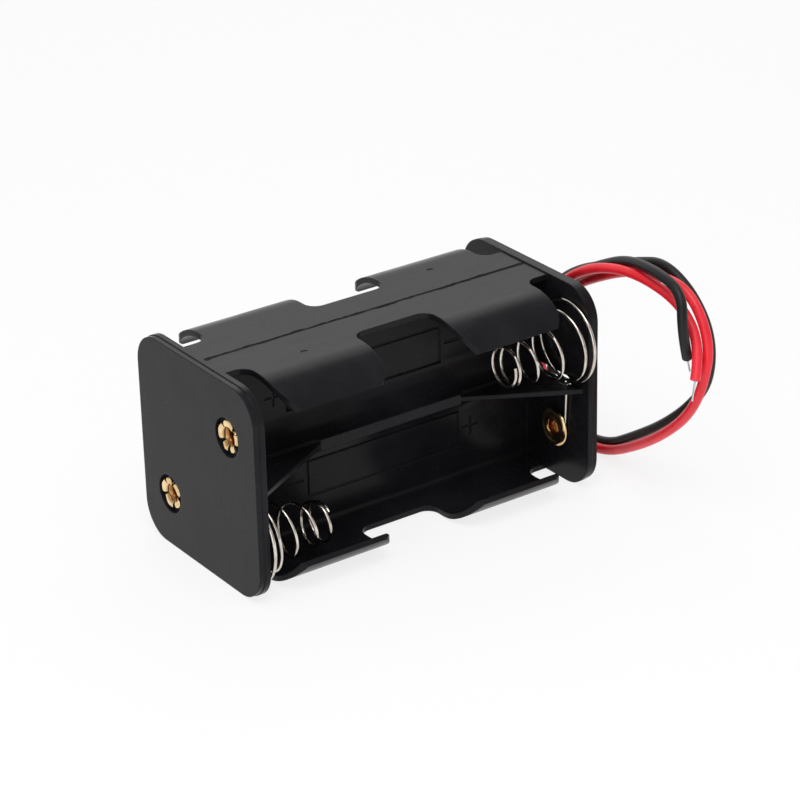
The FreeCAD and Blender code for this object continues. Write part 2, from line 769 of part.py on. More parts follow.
def make_lead(name, side, route):
    """An insulated lead with its stripped free end."""
    corners = lead_corners(side, route)
    edges, radii = rounded_path(corners)
    diameter = size("lead_diameter").value
    lead = make_feature(name, swept(edges, diameter))
    along = (corners[-1] - corners[-2]).normalize()
    tip = make_feature(name + "_tip", Part.makeCylinder(
        size("tip_diameter").value / 2, size("tip_length").value, corners[-1], along))
    length = sum(edge.Length for edge in edges)
    section = math.pi * diameter * diameter / 4
    print(name, "length", round(length, 1), "smallest radius", round(min(radii), 2),
          "volume over section times length", round(lead.Shape.Volume / (section * length), 4))
    print(name, "radii", [round(radius, 1) for radius in radii])
    return [lead, tip]


def make_core(name, side, end):
    """Tinned strands from the end of a lead's insulation to their contact in a bay."""
    start = lead_corners(side, [])[0]
    level = half_inside.value - wire_rise.value
    edges, _ = rounded_path([start, Vector(level, start.y, start.z), end])
    return make_feature(name, swept(edges, size("core_diameter").value))


def make_joint(name, place, core, contact):
    """Solder joint on the plate around the end of the strands, clear of the contact's space."""
    radius = size("joint_radius").value
    drop = Part.makeSphere(radius, place)
    plate = Part.makeBox(radius * 2, radius * 2, radius * 2, Vector(
        half_inside.value - size("wire_gap").value, place.y - radius, place.z - radius))
    return make_feature(name, drop.cut(plate).cut(core.Shape).cut(contact))


def make_contacts():
    """Strands and solder joints of both leads, red on its eyelet and black on its spring."""
    level = half_inside.value - wire_rise.value
    gap = size("wire_gap").value
    inward = Vector(-1, 0, 0)

    eyelet_axis = Vector(half_inside.value, bay_y.value, (middle + bay_rise).value)
    rim = size("flange_radius").value + gap
    reach = size("barrel_radius").value + gap + size("core_diameter").value / 2
    red_end = Vector(level, eyelet_axis.y, eyelet_axis.z - reach)
    red_core = make_core("red_lead_core", -1, red_end)
    eyelet_space = Part.makeCylinder(rim, size("coil_length").value, eyelet_axis, inward)
    red_place = Vector(level, eyelet_axis.y, eyelet_axis.z - rim)
    red_joint = make_joint("red_solder_joint", red_place, red_core, eyelet_space)

    out, back = SPRINGS["spring_back_lower"][2]
    coil_axis = Vector(level, bay_y.value + out, (middle - bay_rise).value + back)
    turn = size("coil_radius").value
    clear = size("wire_diameter").value / 2 + gap
    black_y = bay_y.value + size("lead_spacing").value / 2
    rise = math.sqrt(turn ** 2 - (black_y - coil_axis.y) ** 2)
    black_end = Vector(level, black_y, coil_axis.z + rise + clear + gap)
    black_core = make_core("black_lead_core", 1, black_end)
    coil_space = Part.makeTorus(turn, clear, coil_axis, inward)
    black_place = black_end + Vector(0, 0, size("core_diameter").value / 2)
    black_joint = make_joint("black_solder_joint", black_place, black_core, coil_space)
    return [red_core, red_joint, black_core, black_joint]


housing = make_housing()
doc.recompute()
eyelets = [make_eyelet(name) for name in EYELETS]
doc.recompute()
springs = [make_spring(name) for name in SPRINGS]
doc.recompute()

leads = make_lead("red_lead", -1, RED_ROUTE) + make_lead("black_lead", 1, BLACK_ROUTE)
contacts = make_contacts()
doc.recompute()

sub_parts = [housing] + eyelets + springs + leads + contacts

for item in doc.Objects:
    if "Invalid" in item.State or "Error" in item.State:
        raise RuntimeError(f"{item.Label} failed to build")
for item in sub_parts:
    if item.Shape.isNull() or not item.Shape.isValid():
        raise RuntimeError(f"{item.Label} is not a valid solid")

os.makedirs("parts", exist_ok=True)
for item in sub_parts:
    item.Shape.exportStep(f"parts/{item.Label}.step")
    print(item.Label, len(item.Shape.Solids), round(item.Shape.Volume, 2), item.Shape.BoundBox)
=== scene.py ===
import math
import random

import bmesh
import bpy
from bpy.props import FloatProperty, FloatVectorProperty, IntProperty, PointerProperty
from mathutils import Matrix, Vector


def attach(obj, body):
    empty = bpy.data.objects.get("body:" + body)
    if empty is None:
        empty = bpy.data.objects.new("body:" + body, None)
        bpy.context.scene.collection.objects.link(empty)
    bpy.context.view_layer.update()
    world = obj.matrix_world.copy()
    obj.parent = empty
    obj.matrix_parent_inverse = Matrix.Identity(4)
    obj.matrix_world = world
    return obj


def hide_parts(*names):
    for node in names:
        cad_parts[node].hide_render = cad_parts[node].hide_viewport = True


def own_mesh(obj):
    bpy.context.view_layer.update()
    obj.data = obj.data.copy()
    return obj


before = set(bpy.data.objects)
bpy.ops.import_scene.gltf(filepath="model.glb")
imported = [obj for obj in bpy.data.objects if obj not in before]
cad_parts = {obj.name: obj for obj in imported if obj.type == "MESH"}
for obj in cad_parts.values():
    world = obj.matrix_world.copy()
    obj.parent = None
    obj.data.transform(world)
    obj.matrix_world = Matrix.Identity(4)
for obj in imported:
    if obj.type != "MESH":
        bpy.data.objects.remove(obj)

bl_info = {
    "name": "Cylindrical Cell Holder",
    "version": (1, 0, 0),
    "blender": (4, 5, 0),
    "location": "View3D > Sidebar > Cell Holder",
    "description": "Dresses a moulded holder for AA cells and sets a studio round it",
    "category": "Object",
}

# Places in the row frame, in metres: the middle of the height, the bays' axes off the parting
# line and off the middle, the two faces of a plate, the walls' outer faces off the middle, and
# the slot of the leads

MIDDLE = 0.0157
BAY_Y = 0.00805
BAY_RISE = 0.0075
PLATE_INSIDE = 0.0273
PLATE_OUTSIDE = 0.029
WALL_TOP = 0.0155
SLOT = Vector((PLATE_OUTSIDE, BAY_Y, MIDDLE))

# Gate marks in X and Y, their reach, and where in X the flash begins to widen

GATES = [(0.0150, 0.0062), (-0.0150, -0.0062)]
GATE_REACH = (0.0005, 0.0004)
FLASH_WIDENS = 0.014

# Spring wires: their clearance from the plate, the link off the coil's axis, the bend into the
# link, the angle of a free end, and the ring round an eyelet

WIRE_GAP = 0.00005
LINK_OFFSET = 0.0023
BEND_RUN = 0.0021
BEND_TRIM = 0.0008
FREE_END_ANGLE = -0.7
RING_RADIUS = 0.0018
RING_TURN = 5.0
POINTS_PER_TURN = 48

# Turns of a spring from its wide end, with the shares of the radius and of the height at each

COIL_SHAPE = [
    (0.0, 1.0, 0.0), (0.5, 0.985, 0.005), (1.0, 0.866, 0.052), (1.5, 0.701, 0.15),
    (2.5, 0.343, 0.442), (3.5, 0.104, 0.768), (4.3, 0.03, 0.944), (5.3, 0.0, 1.0),
]

# Sides of the bay in Y and Z and of the plate in X, the link wire, the coil's place off the
# bay's axis outwards and towards the shelf, and how far its tip leans outwards and droops, in
# millimetres

SPRINGS = {
    "spring_front_upper": ((-1, 1, 1), "down", (2.4, 0.5), (0.3, 0.8)),
    "spring_front_lower": ((-1, -1, -1), "back", (1.5, -0.3), (-0.2, 1.1)),
    "spring_back_upper": ((1, 1, -1), "front", (2.4, 0.5), (0.3, 0.8)),
    "spring_back_lower": ((1, -1, 1), None, (1.5, -0.3), (-0.2, 1.1)),
}
EYELETS = {
    "eyelet_front_upper": (-1, 1, -1),
    "eyelet_front_lower": (-1, -1, 1),
    "eyelet_back_upper": (1, 1, 1),
    "eyelet_back_lower": (1, -1, -1),
}

# Radii between which the painted shade and tarnish of an eyelet's bore fade into brass, and their
# tint

BORE_EDGE = (0.00122, 0.00145)
# Deep brown of the bore: painted shade of the deep hollow, with some tarnish
BORE_SHADE_TINT = (0.26, 0.10, 0.022, 1.0)

# Petals that clench each eyelet on the plate's outside, as angles from +Y towards +Z in degrees
# where each starts and ends, and its reach and rise in millimetres

PETALS = {
    "eyelet_front_upper": [(-24, 55, 2.2, 0.52), (64, 130, 2.36, 0.42), (150, 202, 2.15, 0.5),
                           (222, 259, 2.2, 0.56), (276, 320, 2.32, 0.46)],
    "eyelet_front_lower": [(-2, 44, 2.42, 0.5), (50, 128, 2.2, 0.56), (183, 236, 2.4, 0.44),
                           (273, 331, 2.36, 0.54)],
    "eyelet_back_upper": [(8, 66, 2.3, 0.48), (76, 118, 2.2, 0.55), (131, 196, 2.36, 0.45),
                          (214, 262, 2.25, 0.52), (281, 352, 2.3, 0.5)],
    "eyelet_back_lower": [(-12, 48, 2.35, 0.46), (60, 104, 2.25, 0.54), (116, 171, 2.3, 0.5),
                          (190, 250, 2.2, 0.55), (264, 336, 2.38, 0.44)],
}

# Petals in millimetres: the radius of their root, its height over the plate's inner face and the
# height that none passes. Their lift has a mean, a swing, and a side in degrees where it is most

PETAL_ROOT = 1.26
PETAL_FOOT = 1.14
PETAL_TOP = 1.62
PETAL_LIFT = (0.8, 0.35, 40)
PETAL_ACROSS = 10
PETAL_ALONG = 8

# Half section of an eyelet from the plate's inner face, as radius and height into the bay

EYELET_SECTION = [
    (1.44, -1.16), (1.3, -1.16), (1.15, 0.0), (1.15, 0.55), (1.2, 0.9), (1.32, 1.1), (1.5, 1.17),
    (1.72, 1.08), (1.92, 1.03), (2.1, 1.1), (2.28, 1.18), (2.46, 1.17), (2.64, 1.09), (2.8, 0.97),
    (2.91, 0.84), (2.92, 0.75), (2.8, 0.71), (2.4, 0.71), (1.45, 0.71),
]

# Leads: how deep in the plate they start, each one off the slot's middle, where the first straight
# run ends, how deep the strands are set, and how many strands lie round the middle one

LEAD_START = 0.0011
LEAD_SIDE = 0.0012
LEAD_STRAIGHT = 0.0037
STRAND_SET = 0.0003
OUTER_STRANDS = 6

# Corners of the leads, in millimetres from the middle of their slot at the plate's outer face

RED_ROUTE = [
    (7.0, -2.7, 3.6), (7.6, -7.9, 9.5), (7.0, -14.2, 13.1), (6.8, -20.7, 16.2),
    (6.5, -27.2, 18.1), (6.9, -34.5, 18.0), (6.9, -39.2, 11.6), (5.5, -39.4, 5.1),
    (5.9, -35.8, -0.9), (6.1, -30.1, -6.1), (7.1, -23.0, -10.9), (7.9, -15.5, -15.0),
    (6.3, -10.1, -14.6), (5.3, -5.3, -9.6), (4.2, -3.5, -2.5), (3.6, -4.7, 4.5),
    (3.4, -8.7, 10.5), (3.8, -14.1, 14.9), (4.3, -20.4, 17.4), (4.3, -27.9, 18.3),
    (5.5, -34.7, 16.0), (5.3, -38.9, 11.2), (3.0, -40.6, 7.4),
]
BLACK_ROUTE = [
    (7.0, -0.1, 3.7), (7.6, -4.5, 9.2), (7.6, -9.3, 12.5), (7.8, -14.9, 14.9),
    (7.9, -21.8, 17.7), (8.2, -27.5, 19.4), (8.9, -33.0, 16.3), (8.8, -37.2, 11.1),
    (8.5, -37.3, 4.2), (8.2, -33.2, -1.1), (8.3, -27.9, -5.8), (8.8, -21.0, -10.5),
    (8.9, -13.9, -14.8), (8.6, -5.8, -14.7), (7.6, -1.8, -9.6), (6.9, -4.2, -1.6),
    (5.8, -6.2, 6.4), (5.6, -10.2, 12.3), (5.9, -15.2, 15.4), (5.6, -22.4, 18.9),
    (4.1, -30.4, 20.2), (3.6, -36.7, 19.2), (2.3, -38.5, 14.0), (4.2, -37.4, 9.4),
]

# Camera's place and axes, and the directions away from it and beside it on the floor

CAMERA_PLACE = (-0.21219, -0.31272, 0.19722)
CAMERA_RIGHT = (0.81542, -0.57847, -0.02144)
CAMERA_UP = (0.26476, 0.33975, 0.90248)
CAMERA_BACK = (-0.51478, -0.74158, 0.43019)
FLOOR_AWAY = Vector((0.5703, 0.8215, 0.0))
FLOOR_ASIDE = Vector((0.8215, -0.5703, 0.0))

# Softboxes by their setting's name: place, target and size

LAMPS = {
    "key": ((-0.10, -0.14, 0.45), (0.0, 0.0, 0.0), 0.35),
    "fill": ((-0.40, -0.30, 0.14), (0.0, 0.0, 0.02), 0.30),
    "back": ((0.25, 0.36, 0.40), (0.0, 0.0, 0.02), 0.32),
}
WORLD_STRENGTH = 0.5
PAPER_TINT = (0.98, 0.98, 0.98, 1.0)
PAPER_GLOW = 0.8

# Darkest and lightest tint of each finish

TINTS = {
    "moulded_plastic": ((0.0088, 0.0080, 0.0096), (0.0130, 0.0120, 0.0142)),
    "nickel": ((0.56, 0.51, 0.45), (0.76, 0.71, 0.65)),
    "brass": ((0.74, 0.48, 0.20), (0.95, 0.74, 0.43)),
    "red_insulation": ((0.78, 0.010, 0.024), (0.90, 0.022, 0.042)),
    "black_insulation": ((0.007, 0.007, 0.008), (0.012, 0.0115, 0.013)),
    "tinned_copper": ((0.60, 0.60, 0.62), (0.78, 0.78, 0.80)),
    "solder": ((0.52, 0.52, 0.54), (0.66, 0.66, 0.69)),
}


# Materials


def new_material(name):
    """A material of that name, with its nodes, its links and its shader."""
    material = bpy.data.materials.new(name)
    material.use_nodes = True
    nodes = material.node_tree.nodes
    shader = nodes["Principled BSDF"]
    return material, nodes, material.node_tree.links, shader


def object_noise(nodes, links, scale, detail=4.0, stretch=(1.0, 1.0, 1.0)):
    """Noise on object coordinates, drawn out along the axes whose stretch is small."""
    place = nodes.new("ShaderNodeTexCoord")
    drawn = nodes.new("ShaderNodeMapping")
    drawn.inputs["Scale"].default_value = stretch
    noise = nodes.new("ShaderNodeTexNoise")
    noise.inputs["Scale"].default_value = scale
    noise.inputs["Detail"].default_value = detail
    links.new(place.outputs["Object"], drawn.inputs["Vector"])
    links.new(drawn.outputs["Vector"], noise.inputs["Vector"])
    return noise


def spread(nodes, links, source, low, high):
    """The middle range of a noise spread between low and high."""
    span = nodes.new("ShaderNodeMapRange")
    span.inputs["From Min"].default_value = 0.3
    span.inputs["From Max"].default_value = 0.7
    span.inputs["To Min"].default_value = low
    span.inputs["To Max"].default_value = high
    links.new(source, span.inputs["Value"])
    return span.outputs["Result"]


def tinted(nodes, links, source, name):
    """The source as a colour between the two tints of a finish."""
    settings = bpy.context.scene.cell_holder_tints
    ramp = nodes.new("ShaderNodeValToRGB")
    ramp.color_ramp.elements[0].position = 0.35
    ramp.color_ramp.elements[0].color = (*getattr(settings, name + "_dark"), 1.0)
    ramp.color_ramp.elements[1].position = 0.65
    ramp.color_ramp.elements[1].color = (*getattr(settings, name + "_light"), 1.0)
    links.new(source, ramp.inputs["Fac"])
    return ramp.outputs["Color"]


def bumped(nodes, links, shader, source, strength, distance):
    """A bump of the source on the shader's normal."""
    bump = nodes.new("ShaderNodeBump")
    bump.inputs["Strength"].default_value = strength
    bump.inputs["Distance"].default_value = distance
    links.new(source, bump.inputs["Height"])
    links.new(bump.outputs["Normal"], shader.inputs["Normal"])
    return bump


def plastic_material():
    """Black plastic, satin, with softened edges, sink marks, fine grain and faint scuffs."""
    material, nodes, links, shader = new_material("moulded_plastic")
    cloud = object_noise(nodes, links, 160.0)
    scuff = object_noise(nodes, links, 420.0, 3.0, (0.3, 1.0, 1.0))
    grain = object_noise(nodes, links, 4200.0, 2.0)
    links.new(tinted(nodes, links, cloud.outputs["Fac"], material.name),
              shader.inputs["Base Color"])
    gloss = nodes.new("ShaderNodeMath")
    gloss.operation = "ADD"
    links.new(spread(nodes, links, cloud.outputs["Fac"], 0.19, 0.27), gloss.inputs[0])
    links.new(spread(nodes, links, scuff.outputs["Fac"], 0.0, 0.06), gloss.inputs[1])
    links.new(gloss.outputs["Value"], shader.inputs["Roughness"])
    shader.inputs["Specular IOR Level"].default_value = 0.13
    edge = nodes.new("ShaderNodeBevel")
    edge.samples = 6
    edge.inputs["Radius"].default_value = 0.00022
    wave = object_noise(nodes, links, 130.0, 1.0)
    sink = bumped(nodes, links, shader, wave.outputs["Fac"], 0.35, 0.00015)
    bump = bumped(nodes, links, shader, grain.outputs["Fac"], 0.05, 0.00002)
    links.new(edge.outputs["Normal"], sink.inputs["Normal"])
    links.new(sink.outputs["Normal"], bump.inputs["Normal"])
    return material


def metal_material(name, roughness, grain_scale):
    """Bare metal with cloudy tints and a fine grain."""
    material, nodes, links, shader = new_material(name)
    cloud = object_noise(nodes, links, 600.0)
    grain = object_noise(nodes, links, grain_scale, 3.0)
    links.new(tinted(nodes, links, cloud.outputs["Fac"], name), shader.inputs["Base Color"])
    links.new(spread(nodes, links, cloud.outputs["Fac"], roughness * 0.75, roughness * 1.3),
              shader.inputs["Roughness"])
    shader.inputs["Metallic"].default_value = 1.0
    bumped(nodes, links, shader, grain.outputs["Fac"], 0.1, 0.00002)
    return material


def shade_and_tarnish_bore(material):
    """Paints shade and tarnish as a deep brown inside the eyelets' barrels."""
    nodes = material.node_tree.nodes
    links = material.node_tree.links
    shader = nodes["Principled BSDF"]
    brass_colour = shader.inputs["Base Color"].links[0].from_socket
    place = nodes.new("ShaderNodeTexCoord")
    last = place.outputs["Object"]
    for operation, value in (("SUBTRACT", (0.0, 0.0, MIDDLE)), ("ABSOLUTE", None),
                             ("SUBTRACT", (0.0, BAY_Y, BAY_RISE)), ("MULTIPLY", (0.0, 1.0, 1.0))):
        step = nodes.new("ShaderNodeVectorMath")
        step.operation = operation
        links.new(last, step.inputs[0])
        if value is not None:
            step.inputs[1].default_value = value
        last = step.outputs["Vector"]
    reach = nodes.new("ShaderNodeVectorMath")
    reach.operation = "LENGTH"
    links.new(last, reach.inputs[0])
    share = nodes.new("ShaderNodeMapRange")
    share.inputs["From Min"].default_value = BORE_EDGE[0]
    share.inputs["From Max"].default_value = BORE_EDGE[1]
    links.new(reach.outputs["Value"], share.inputs["Value"])
    # Painted shade of the deep bore, with some tarnish, mixed over the brass
    mix = nodes.new("ShaderNodeMix")
    mix.data_type = "RGBA"
    mix.inputs["A"].default_value = BORE_SHADE_TINT
    links.new(share.outputs["Result"], mix.inputs["Factor"])
    links.new(brass_colour, mix.inputs["B"])
    links.new(mix.outputs["Result"], shader.inputs["Base Color"])


def insulation_material(name, roughness):
    """Soft plastic of a lead, with cloudy tints and a fine grain."""
    material, nodes, links, shader = new_material(name)
    cloud = object_noise(nodes, links, 260.0)
    grain = object_noise(nodes, links, 3600.0, 2.0)
    links.new(tinted(nodes, links, cloud.outputs["Fac"], name), shader.inputs["Base Color"])
    links.new(spread(nodes, links, cloud.outputs["Fac"], roughness * 0.9, roughness * 1.15),
              shader.inputs["Roughness"])
    bumped(nodes, links, shader, grain.outputs["Fac"], 0.1, 0.00002)
    return material


def paper_material():
    """Diffuse paper, a share of it plain white to the camera, to mirrors and to glass."""
    material, nodes, links, shader = new_material("paper_white")
    shader.inputs["Base Color"].default_value = PAPER_TINT
    shader.inputs["Roughness"].default_value = 0.9
    output = nodes["Material Output"]
    glow = nodes.new("ShaderNodeEmission")
    glow.inputs["Color"].default_value = (1.0, 1.0, 1.0, 1.0)
    glow.inputs["Strength"].default_value = 1.0
    path = nodes.new("ShaderNodeLightPath")
    seen = nodes.new("ShaderNodeMath")
    seen.operation = "MAXIMUM"
    links.new(path.outputs["Is Camera Ray"], seen.inputs[0])
    links.new(path.outputs["Is Glossy Ray"], seen.inputs[1])
    through = nodes.new("ShaderNodeMath")
    through.operation = "MAXIMUM"
    links.new(seen.outputs["Value"], through.inputs[0])
    links.new(path.outputs["Is Transmission Ray"], through.inputs[1])
    part = nodes.new("ShaderNodeMath")
    part.operation = "MULTIPLY"
    links.new(through.outputs["Value"], part.inputs[0])
    part.inputs[1].default_value = PAPER_GLOW
    mix = nodes.new("ShaderNodeMixShader")
    links.new(part.outputs["Value"], mix.inputs["Fac"])
    links.new(shader.outputs["BSDF"], mix.inputs[1])
    links.new(glow.outputs["Emission"], mix.inputs[2])
    links.new(mix.outputs["Shader"], output.inputs["Surface"])
    return material


def set_material(piece, material):
    """Gives a piece that material alone."""
    piece.data.materials.clear()
    piece.data.materials.append(material)


# Tubes that follow a path


def tube_group():
    """Node group that runs a round section along a curve."""
    group = bpy.data.node_groups.new("round_tube", "GeometryNodeTree")
    face = group.interface
    face.new_socket("Geometry", in_out="INPUT", socket_type="NodeSocketGeometry")
    face.new_socket("Radius", in_out="INPUT", socket_type="NodeSocketFloat")
    face.new_socket("Sides", in_out="INPUT", socket_type="NodeSocketInt")
    face.new_socket("Material", in_out="INPUT", socket_type="NodeSocketMaterial")
    face.new_socket("Geometry", in_out="OUTPUT", socket_type="NodeSocketGeometry")
    nodes = group.nodes
    links = group.links
    entry = nodes.new("NodeGroupInput")
    section = nodes.new("GeometryNodeCurvePrimitiveCircle")
    tube = nodes.new("GeometryNodeCurveToMesh")
    smooth = nodes.new("GeometryNodeSetShadeSmooth")
    realize = nodes.new("GeometryNodeRealizeInstances")
    finish = nodes.new("GeometryNodeSetMaterial")
    leave = nodes.new("NodeGroupOutput")
    links.new(entry.outputs["Radius"], section.inputs["Radius"])
    links.new(entry.outputs["Sides"], section.inputs["Resolution"])
    links.new(entry.outputs["Geometry"], tube.inputs["Curve"])
    links.new(section.outputs["Curve"], tube.inputs["Profile Curve"])
    tube.inputs["Fill Caps"].default_value = True
    links.new(tube.outputs["Mesh"], smooth.inputs["Geometry"])
    links.new(smooth.outputs["Geometry"], realize.inputs["Geometry"])
    links.new(realize.outputs["Geometry"], finish.inputs["Geometry"])
    links.new(entry.outputs["Material"], finish.inputs["Material"])
    links.new(finish.outputs["Geometry"], leave.inputs["Geometry"])
    return group


def path_curve(name, points):
    """A curve object through the points, one straight run between each two."""
    data = bpy.data.curves.new(name, "CURVE")
    data.dimensions = "3D"
    spline = data.splines.new("POLY")
    spline.points.add(len(points) - 1)
    for corner, point in zip(spline.points, points):
        corner.co = (*point, 1.0)
    piece = bpy.data.objects.new(name, data)
    bpy.context.scene.collection.objects.link(piece)
    return piece


def converted(name, source):
    """The source with its modifiers made real, as a plain mesh object of that name."""
    depsgraph = bpy.context.evaluated_depsgraph_get()
    mesh = bpy.data.meshes.new_from_object(source.evaluated_get(depsgraph))
    mesh.name = name
    bpy.data.objects.remove(source)
    piece = bpy.data.objects.new(name, mesh)
    bpy.context.scene.collection.objects.link(piece)
    return piece


def joined(name, pieces):
    """The pieces as one mesh object of that name."""
    shape = bmesh.new()
    material = pieces[0].data.materials[0]
    for piece in pieces:
        shape.from_mesh(piece.data)
        bpy.data.objects.remove(piece)
    mesh = bpy.data.meshes.new(name)
    shape.to_mesh(mesh)
    shape.free()
    mesh.materials.append(material)
    whole = bpy.data.objects.new(name, mesh)
    bpy.context.scene.collection.objects.link(whole)
    return whole


def tube(name, points, radius, sides, material):
    """A round tube along the points, made by the node group and converted."""
    source = path_curve(name + "_path", points)
    group = bpy.data.node_groups.get("round_tube") or tube_group()
    modifier = source.modifiers.new("tube", "NODES")
    modifier.node_group = group
    inputs = {item.name: item.identifier for item in group.interface.items_tree
              if item.in_out == "INPUT"}
    modifier[inputs["Radius"]] = radius
    modifier[inputs["Sides"]] = sides
    modifier[inputs["Material"]] = material
    source.update_tag()
    return converted(name, source)


# Flash of the mould


def flash_points(settings, upwards, side):
    """Points along one edge of the parting line, ragged, and wider towards the far plate."""
    chance = random.Random(11 if side > 0 else 23)
    count = int(2 * PLATE_INSIDE / settings.step)
    points = []
    wander = 0.0
    for index in range(count + 1):
        x = -PLATE_INSIDE + 2 * PLATE_INSIDE * index / count
        wander = 0.7 * wander + 0.3 * chance.uniform(-1.0, 1.0)
        widening = max(0.0, (x - FLASH_WIDENS) / (PLATE_INSIDE - FLASH_WIDENS))
        y = side * (settings.gap + settings.ragged * (wander + 0.5 * widening))
        lift = settings.ragged * 0.4 * abs(wander) - settings.bead * 0.5
        points.append(Vector((x, y, MIDDLE + (WALL_TOP + lift) * upwards)))
    return points


# Springs


def shape_shares(turn):
    """Shares of the radius and of the height at a turn, smooth between the shape's entries."""
    shape = COIL_SHAPE
    last = len(shape) - 2
    index = next((i for i in range(last + 1) if turn <= shape[i + 1][0]), last)
    before = shape[index]
    after = shape[index + 1]
    span = after[0] - before[0]
    s = min((turn - before[0]) / span, 1.0)
    result = []
    for column in (1, 2):
        slopes = []
        for i in (index, index + 1):
            low = shape[max(i - 1, 0)]
            high = shape[min(i + 1, last + 1)]
            slopes.append((high[column] - low[column]) / (high[0] - low[0]) * span)
        result.append((2 * s ** 3 - 3 * s ** 2 + 1) * before[column]
                      + (s ** 3 - 2 * s ** 2 + s) * slopes[0]
                      + (3 * s ** 2 - 2 * s ** 3) * after[column]
                      + (s ** 3 - s ** 2) * slopes[1])
    return result


def spring_points(name, settings):
    """Points along a spring in the row frame, from its tip to its wide end, then its link wire."""
    (side_y, side_z, side_x), link, (out, back), (lean, droop) = SPRINGS[name]
    towards = {"down": Vector((0, 0, -1)), "back": Vector((0, 1, 0)),
               "front": Vector((0, -1, 0)), None: Vector((0, 0, 1))}[link]
    inward = Vector((-side_x, 0, 0))
    across = inward.cross(towards)

    def local(y, z):
        offset = Vector((0, y, z)) / 1000
        return Vector((offset.dot(towards), offset.dot(across), 0))

    centre = local(out * side_y, -back * side_z)
    tilt = local(lean * side_y, -droop)
    low = settings.wire / 2 + WIRE_GAP
    height = settings.length - settings.wire / 2 - low
    widening = settings.base_radius - settings.tip_radius
    start_angle = FREE_END_ANGLE
    if link:
        start_angle = math.asin((LINK_OFFSET - centre.y) / settings.base_radius)
    bend = math.atan(BEND_RUN / settings.base_radius) / (2 * math.pi)
    points = []
    count = int(COIL_SHAPE[-1][0] * POINTS_PER_TURN)
    for index in range(count, -1, -1):
        turn = bend + (COIL_SHAPE[-1][0] - bend) * index / count
        radius_share, height_share = shape_shares(turn)
        angle = start_angle + turn * 2 * math.pi
        reach = settings.tip_radius + widening * radius_share
        points.append(centre + tilt * height_share + Vector((
            reach * math.cos(angle), reach * math.sin(angle), low + height * height_share)))
    if link:
        distance = BAY_RISE * 2 if link == "down" else BAY_Y * 2
        corner_reach = math.hypot(settings.base_radius, BEND_RUN)
        corner = centre + Vector((corner_reach * math.cos(start_angle),
                                  corner_reach * math.sin(start_angle), low))
        ring_start = Vector((distance, RING_RADIUS, low))
        along = (ring_start - corner).normalized()
        first = corner + (points[-1] - corner).normalized() * BEND_TRIM
        final = corner + along * BEND_TRIM
        points.append(points[-1].lerp(first, 0.5))
        points.append(first)
        for index in range(1, 10):
            share = index / 10
            points.append(first * (1 - share) ** 2 + corner * 2 * share * (1 - share)
                          + final * share ** 2)
        for index in range(10):
            points.append(final.lerp(ring_start, index / 10))
        for index in range(31):
            angle = math.pi / 2 - index / 30 * RING_TURN
            points.append(Vector((distance + RING_RADIUS * math.cos(angle),
                                  RING_RADIUS * math.sin(angle), low)))
    matrix = Matrix((towards, across, inward)).transposed().to_4x4()
    matrix.translation = (PLATE_INSIDE * side_x, BAY_Y * side_y, MIDDLE + BAY_RISE * side_z)
    return [matrix @ point for point in points]


# Eyelets


def petal_mesh(name):
    """The clenched petals of an eyelet, each a leaf that arches outwards from the barrel's end."""
    side_y, side_z, side_x = EYELETS[name]
    shape = bmesh.new()
    mean, swing, most = PETAL_LIFT
    for number, (start, end, reach, rise) in enumerate(PETALS[name]):
        lift = rise * (mean + swing * math.cos(math.radians((start + end) / 2 - most)))
        rows = []
        for j in range(PETAL_ALONG + 1):
            v = j / PETAL_ALONG
            row = []
            for i in range(PETAL_ACROSS + 1):
                u = 2 * i / PETAL_ACROSS - 1
                width = 1.02 - 0.06 * v - 0.22 * v ** 5
                angle = math.radians((start + end) / 2 + (end - start) / 2 * u * width)
                radius = PETAL_ROOT + (reach + 0.1 - PETAL_ROOT) * v * (1 - 0.08 * u * u * v * v)
                arch = 1 - (1 - min(v * 2.4, 1)) ** 2 - 1.1 * max(v - 0.45, 0) ** 2
                fold = 0.2 * v * (abs(u) - 0.5) * (1 if number % 2 else -0.6)
                height = PETAL_FOOT + arch * lift * (1 - 0.12 * u) + fold
                row.append(shape.verts.new((
                    side_x * (PLATE_INSIDE + min(height, PETAL_TOP) / 1000),
                    BAY_Y * side_y + radius * math.cos(angle) / 1000,
                    MIDDLE + BAY_RISE * side_z + radius * math.sin(angle) / 1000)))
            rows.append(row)
        for low, high in zip(rows, rows[1:]):
            for i in range(PETAL_ACROSS):
                shape.faces.new((low[i], low[i + 1], high[i + 1], high[i]))
    bmesh.ops.recalc_face_normals(shape, faces=shape.faces)
    mesh = bpy.data.meshes.new(name + "_petals")
    shape.to_mesh(mesh)
    shape.free()
    return mesh


